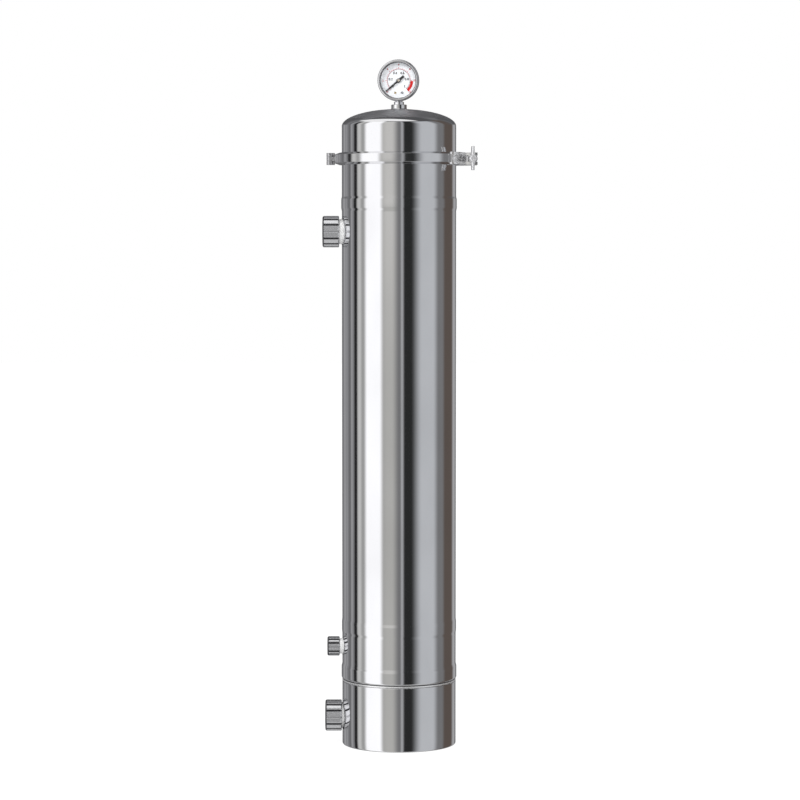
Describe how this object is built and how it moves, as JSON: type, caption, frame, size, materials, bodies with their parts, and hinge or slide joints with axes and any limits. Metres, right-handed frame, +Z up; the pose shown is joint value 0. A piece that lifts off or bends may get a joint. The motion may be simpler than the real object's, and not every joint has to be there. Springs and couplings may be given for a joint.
{
  "type": "ultrafiltration water purifier",
  "caption": "Tall stainless ultrafiltration water purifier with side ports under screw caps, a domed lid held by a V-clamp, and a pressure gauge on top.",
  "frame": {"origin": "centre of the base on the floor, on the vessel's axis", "axes": "+Z up along the vessel's axis, -X out of the three ports, +X towards the clamp's closure, -Y towards the viewer of the dial"},
  "size_m": [0.2164, 0.182, 0.962],
  "materials": {
    "mirror_steel": "mirror-polished stainless steel",
    "clamp_steel": "polished stainless steel, slightly softer than the tube",
    "bolt_steel": "polished cast and turned stainless steel",
    "cap_steel": "polished turned stainless steel",
    "inner_steel": "mill-finished stainless steel",
    "gauge_steel": "polished stainless steel",
    "gauge_brass": "nickel-plated brass outside, bare inside",
    "dial_white": "white enamelled aluminium with printed scales",
    "pointer_black": "matt black paint",
    "lens_glass": "clear flat glass",
    "seal_rubber": "black moulded rubber",
    "cartridge_plastic": "moulded and extruded white plastic",
    "fibres": "bundle of white hollow fibres"
  },
  "bodies": {
    "vessel": {"base_skirt": "mirror_steel", "body_tube": "mirror_steel", "lid_shell": "mirror_steel", "lid_flange": "mirror_steel", "tube_flange": "mirror_steel", "inlet_nipple": "mirror_steel", "drain_nipple": "mirror_steel", "outlet_nipple": "mirror_steel", "gauge_boss": "mirror_steel", "clamp_rear": "clamp_steel", "hinge_pin": "bolt_steel", "pivot_pin": "bolt_steel", "lower_head": "inner_steel", "outlet_socket": "inner_steel", "outlet_elbow": "inner_steel", "support_ring": "inner_steel", "pull_handle": "inner_steel", "gauge_case": "gauge_steel", "gauge_bezel": "gauge_steel", "dial_screws": "gauge_steel", "gauge_stem": "gauge_brass", "bourdon_tube": "gauge_brass", "gauge_movement": "gauge_brass", "gauge_dial": "dial_white", "gauge_lens": "lens_glass", "lid_seal": "seal_rubber", "spigot_o_rings": "seal_rubber", "centring_ring": "seal_rubber", "membrane_tube": "cartridge_plastic", "upper_potting": "cartridge_plastic", "lower_potting": "cartridge_plastic", "fibre_bundle": "fibres"},
    "clamp_front": {"clamp_front": "clamp_steel"},
    "swing_bolt": {"swing_bolt": "bolt_steel"},
    "nut_washer": {"nut_washer": "bolt_steel"},
    "wing_nut": {"wing_nut": "bolt_steel"},
    "inlet_gasket": {"inlet_gasket": "seal_rubber"},
    "inlet_cap": {"inlet_cap": "cap_steel"},
    "drain_gasket": {"drain_gasket": "seal_rubber"},
    "drain_cap": {"drain_cap": "cap_steel"},
    "outlet_gasket": {"outlet_gasket": "seal_rubber"},
    "outlet_cap": {"outlet_cap": "cap_steel"},
    "pointer": {"gauge_pointer": "pointer_black", "pointer_bush": "gauge_brass"}
  },
  "joints": [
    {"name": "inlet_cap_travel", "type": "slide", "parent": "vessel", "child": "inlet_gasket", "axis": [-1, 0, 0], "range_m": [0, 0.02]},
    {"name": "inlet_cap_turn", "type": "hinge", "parent": "inlet_gasket", "child": "inlet_cap", "pos_m": [-0.1, 0, 0.7225], "axis": [-1, 0, 0], "range_deg": [0, 3118]},
    {"name": "drain_cap_travel", "type": "slide", "parent": "vessel", "child": "drain_gasket", "axis": [-1, 0, 0], "range_m": [0, 0.014]},
    {"name": "drain_cap_turn", "type": "hinge", "parent": "drain_gasket", "child": "drain_cap", "pos_m": [-0.095, 0, 0.138], "axis": [-1, 0, 0], "range_deg": [0, 2778]},
    {"name": "outlet_cap_travel", "type": "slide", "parent": "vessel", "child": "outlet_gasket", "axis": [-1, 0, 0], "range_m": [0, 0.02]},
    {"name": "outlet_cap_turn", "type": "hinge", "parent": "outlet_gasket", "child": "outlet_cap", "pos_m": [-0.098, 0, 0.0395], "axis": [-1, 0, 0], "range_deg": [0, 3118]},
    {"name": "bolt_swing", "type": "hinge", "parent": "vessel", "child": "swing_bolt", "pos_m": [0.1025, 0.014, 0.824], "axis": [0, 0, 1], "range_deg": [0, 100]},
    {"name": "nut_travel", "type": "slide", "parent": "swing_bolt", "child": "nut_washer", "axis": [0, -1, 0], "range_m": [0, 0.017]},
    {"name": "wing_nut_turn", "type": "hinge", "parent": "nut_washer", "child": "wing_nut", "pos_m": [0.1025, -0.03, 0.824], "axis": [0, -1, 0], "range_deg": [0, 4895]},
    {"name": "clamp_opening", "type": "hinge", "parent": "vessel", "child": "clamp_front", "pos_m": [-0.097, 0, 0.824], "axis": [0, 0, -1], "range_deg": [0, 4.6]},
    {"name": "pointer_sweep", "type": "hinge", "parent": "vessel", "child": "pointer", "pos_m": [0, 0, 0.933], "axis": [0.1045, 0.9945, 0], "range_deg": [0, 265], "stiffness_Nm_per_rad": 0.0005}
  ],
  "couplings": [
    {"joint": "inlet_cap_travel", "follows": "inlet_cap_turn", "m_per_rad": 0.00036749},
    {"joint": "drain_cap_travel", "follows": "drain_cap_turn", "m_per_rad": 0.00028871},
    {"joint": "outlet_cap_travel", "follows": "outlet_cap_turn", "m_per_rad": 0.00036749},
    {"joint": "nut_travel", "follows": "wing_nut_turn", "m_per_rad": 0.00019894},
    {"joint": "clamp_opening", "follows": "wing_nut_turn", "ratio": 0.0009397}
  ]
}
